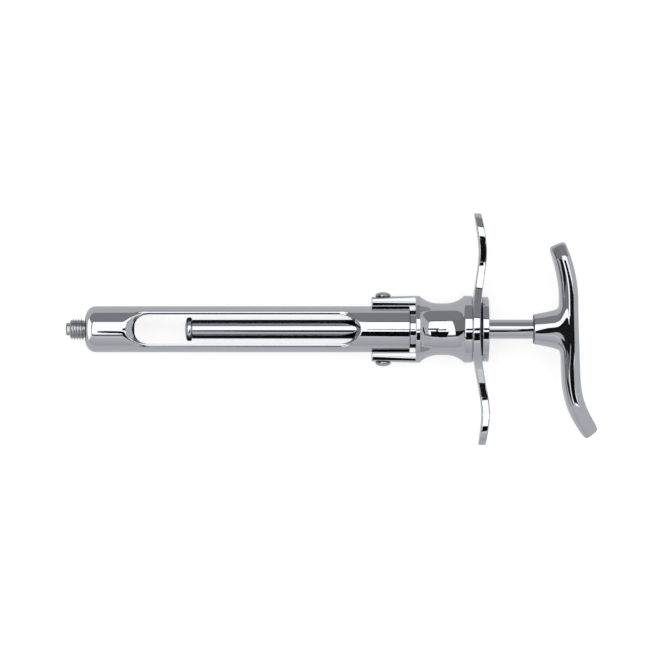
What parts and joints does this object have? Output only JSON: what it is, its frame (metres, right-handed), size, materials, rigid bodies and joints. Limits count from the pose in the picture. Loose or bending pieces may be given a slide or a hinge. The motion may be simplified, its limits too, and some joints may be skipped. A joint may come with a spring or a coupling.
{
  "type": "cartridge syringe",
  "caption": "Metal cartridge syringe: windowed barrel hinged in a fork, sprung collar, finger plate, sliding and turning plunger with a T-shaped thumb handle.",
  "frame": {"origin": "on the axis at the front face of the barrel, where the needle hub seats", "axes": "+X along the axis from the needle end to the thumb handle, +Y along the upper wing of the finger plate, +Z square to both, out of a window"},
  "size_m": [0.1475, 0.0644, 0.0188],
  "materials": {
    "barrel_chrome": "polished",
    "body_chrome": "polished",
    "plate_chrome": "polished",
    "handle_chrome": "polished",
    "rod_chrome": "polished",
    "adaptor_steel": "polished, machined thread",
    "screw_steel": "polished",
    "spring_steel": "drawn wire"
  },
  "bodies": {
    "grip": {"fork_body": "body_chrome", "hinge_screw_upper": "screw_steel", "hinge_screw_lower": "screw_steel", "lock_spring": "spring_steel", "finger_plate": "plate_chrome", "spacer_washer": "screw_steel", "end_cap": "body_chrome"},
    "barrel": {"barrel_tube": "barrel_chrome", "needle_adaptor": "adaptor_steel"},
    "collar": {"lock_collar": "body_chrome", "collar_nut": "screw_steel"},
    "tip": {"plunger_tip": "rod_chrome"},
    "plunger": {"plunger_rod": "rod_chrome", "thumb_handle": "handle_chrome"}
  },
  "joints": [
    {"name": "barrel_tilt", "type": "hinge", "parent": "grip", "child": "barrel", "pos_m": [0.08265, 0, 0], "axis": [0, 1, 0], "range_deg": [0, 12]},
    {"name": "collar_slide", "type": "slide", "parent": "grip", "child": "collar", "axis": [1, 0, 0], "range_m": [0, 0.0025], "stiffness_N_per_m": 60, "springref_m": -0.003, "deforming": ["lock_spring"]},
    {"name": "plunger_slide", "type": "slide", "parent": "grip", "child": "tip", "axis": [1, 0, 0], "range_m": [-0.0123, 0.065]},
    {"name": "plunger_turn", "type": "hinge", "parent": "tip", "child": "plunger", "pos_m": [0.0297, 0, 0], "axis": [1, 0, 0], "continuous": true}
  ],
  "couplings": [
    {"joint": "collar_slide", "follows": "barrel_tilt", "m_per_rad": 0.0065}
  ]
}
